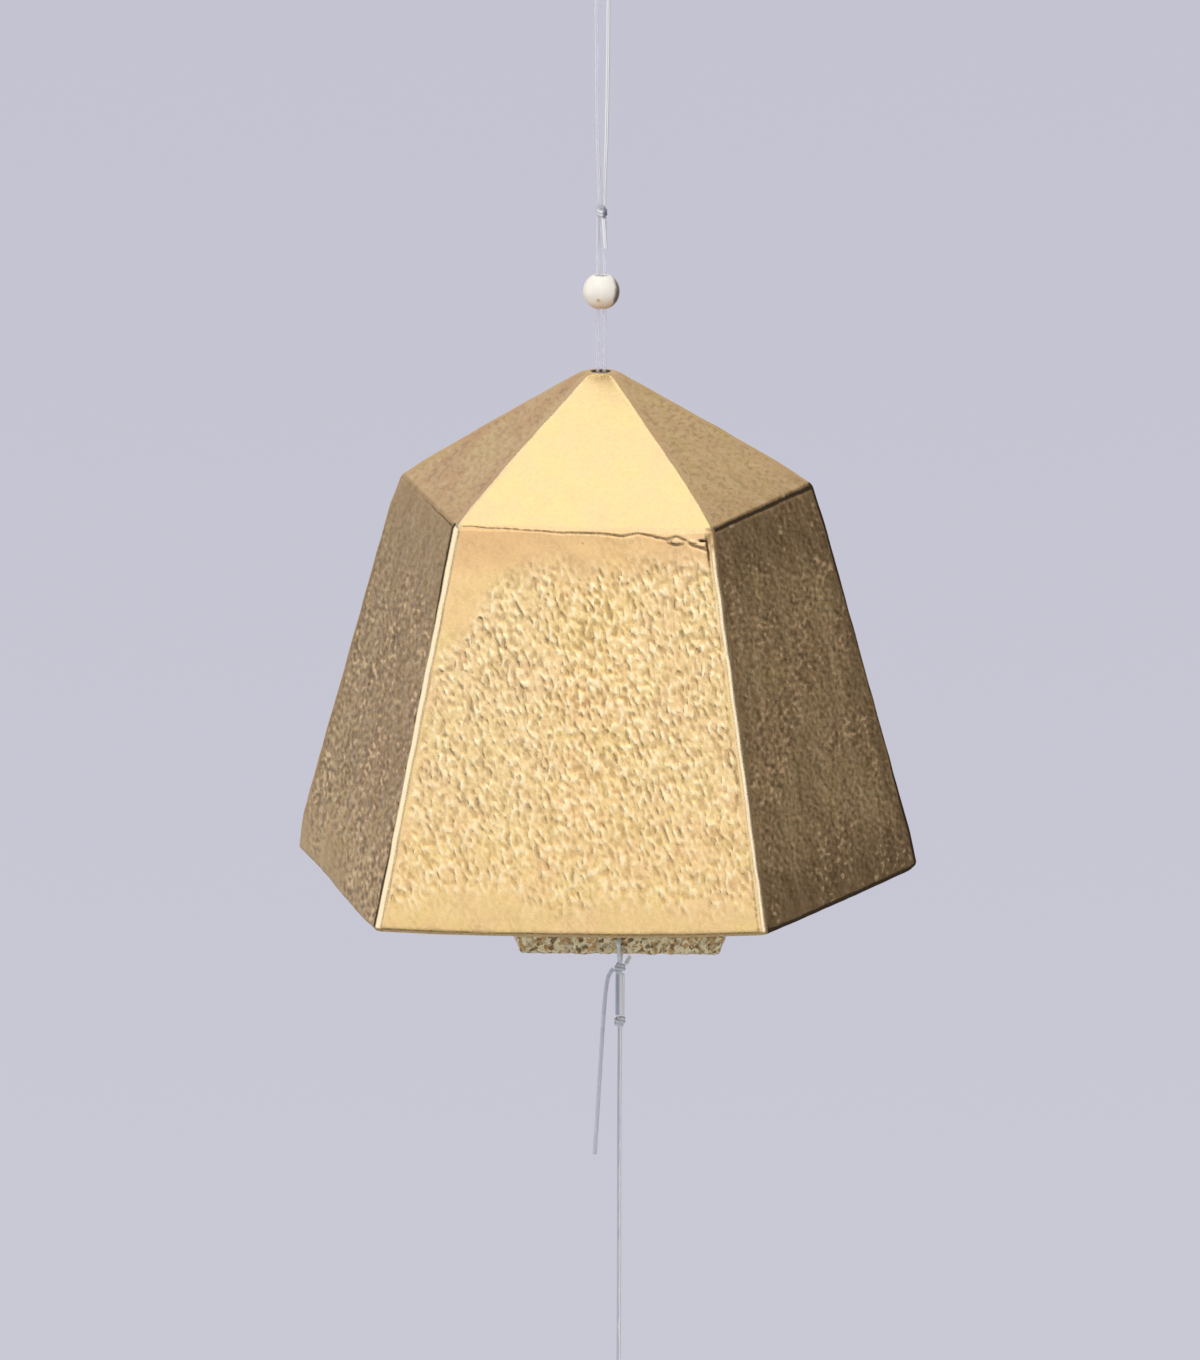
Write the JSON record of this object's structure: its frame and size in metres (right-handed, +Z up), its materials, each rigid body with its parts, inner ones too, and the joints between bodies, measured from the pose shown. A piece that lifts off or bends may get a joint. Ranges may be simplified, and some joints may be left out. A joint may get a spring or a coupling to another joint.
{
  "type": "wind bell",
  "caption": "Small five-sided cast wind bell with a pyramid roof, hung on a clear line with a bead, a clapper plate and a paper wind strip.",
  "frame": {"origin": "inside of the hanging loop's top, where the hook bears", "axes": "+Z up along the line, one flat wall of the bell faces -Y, +X to that wall's right"},
  "size_m": [0.0754, 0.0719, 0.2799],
  "materials": {
    "nylon_line": "clear glossy nylon monofilament",
    "pale_bead": "polished pale wood",
    "gold_cast_bell": "gold leaf over cast metal, pear-skin texture on the walls",
    "gold_cast_clapper": "gold finish over rough cast metal",
    "strip_paper": "plain fibrous paper"
  },
  "bodies": {
    "hanger": {"hanging_loop": "nylon_line"},
    "line_knot": {"loop_knot": "nylon_line"},
    "bell_line": {"crown_line": "nylon_line", "loop_knot_tail": "nylon_line", "stop_bead": "pale_bead"},
    "sliding_bead": {"line_bead": "pale_bead"},
    "bell": {"bell": "gold_cast_bell"},
    "clapper_hitch": {"clapper_hitch": "nylon_line", "clapper_top_knot": "nylon_line"},
    "clapper_line": {"clapper_line": "nylon_line"},
    "clapper": {"clapper_eye_knot": "nylon_line", "clapper_eye_loop": "nylon_line", "clapper": "gold_cast_clapper", "wind_loop": "nylon_line", "wind_loop_end": "nylon_line"},
    "wind_knot": {"wind_knot": "nylon_line"},
    "wind_line": {"wind_line_double": "nylon_line", "wind_second_knot": "nylon_line", "wind_line": "nylon_line", "wind_line_tail": "nylon_line"},
    "strip_knot": {"strip_knot": "nylon_line"},
    "wind_strip": {"strip_loop": "nylon_line", "wind_strip": "strip_paper"}
  },
  "joints": [
    {"name": "bell_swing_side", "type": "hinge", "parent": "hanger", "child": "line_knot", "pos_m": [0, 0, -0.0351], "axis": [0, 1, 0], "range_deg": [-25, 25]},
    {"name": "bell_swing_front", "type": "hinge", "parent": "line_knot", "child": "bell_line", "pos_m": [0, 0, -0.0351], "axis": [1, 0, 0], "range_deg": [-25, 25]},
    {"name": "bead_slide", "type": "slide", "parent": "bell_line", "child": "sliding_bead", "axis": [0, 0, 1], "range_m": [-0.0078, 0.0025]},
    {"name": "bell_turn", "type": "hinge", "parent": "bell_line", "child": "bell", "pos_m": [0, 0, -0.05896], "axis": [0, 0, 1], "continuous": true},
    {"name": "clapper_swing_front", "type": "hinge", "parent": "bell_line", "child": "clapper_hitch", "pos_m": [0.0026, 0, -0.06181], "axis": [1, 0, 0], "range_deg": [-9, 9]},
    {"name": "clapper_swing_side", "type": "hinge", "parent": "clapper_hitch", "child": "clapper_line", "pos_m": [0.0026, 0, -0.06391], "axis": [0, 1, 0], "range_deg": [-9, 9]},
    {"name": "clapper_turn", "type": "hinge", "parent": "clapper_line", "child": "clapper", "pos_m": [0.0026, 0, -0.113], "axis": [0, 0, 1], "continuous": true},
    {"name": "wind_swing_side", "type": "hinge", "parent": "clapper", "child": "wind_knot", "pos_m": [0.0026, 0, -0.1295], "axis": [0, 1, 0], "range_deg": [-35, 35]},
    {"name": "wind_swing_front", "type": "hinge", "parent": "wind_knot", "child": "wind_line", "pos_m": [0.0026, 0, -0.1295], "axis": [1, 0, 0], "range_deg": [-35, 35]},
    {"name": "strip_turn", "type": "hinge", "parent": "wind_line", "child": "strip_knot", "pos_m": [0.0026, 0, -0.182], "axis": [0, 0, 1], "continuous": true},
    {"name": "strip_flap", "type": "hinge", "parent": "strip_knot", "child": "wind_strip", "pos_m": [0.0026, 0, -0.182], "axis": [1, 0, 0], "range_deg": [-40, 40]}
  ]
}
